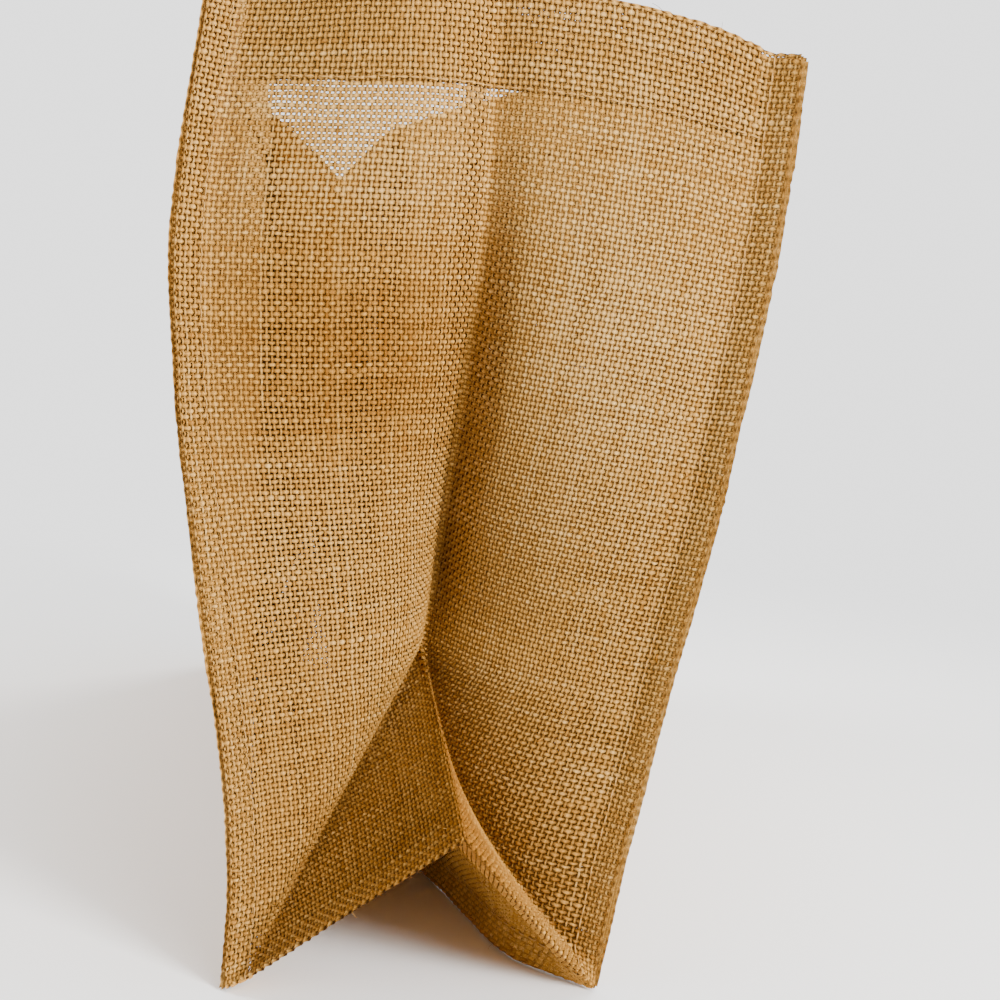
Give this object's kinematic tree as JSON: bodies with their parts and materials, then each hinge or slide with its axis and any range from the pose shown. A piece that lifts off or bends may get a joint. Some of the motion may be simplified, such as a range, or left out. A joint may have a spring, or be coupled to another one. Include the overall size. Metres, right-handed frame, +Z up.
{
  "type": "tote bag",
  "caption": "Empty jute tote bag standing on its bottom seams, half opened at one side, with folded-in gussets, a folded-up base and upright webbing handles.",
  "frame": {"origin": "middle of the bounding box on the surface that the bag stands on", "axes": "+X along the bag's width towards the opened side gusset, -Y out of the front panel, +Z up"},
  "size_m": [0.4686, 0.196, 0.4444],
  "materials": {
    "jute_cloth": "matte",
    "strap_webbing": "matte"
  },
  "bodies": {
    "root": {"front_panel": "jute_cloth", "back_panel": "jute_cloth", "gusset_strip": "jute_cloth", "front_handle": "strap_webbing", "back_handle": "strap_webbing"}
  },
  "joints": []
}
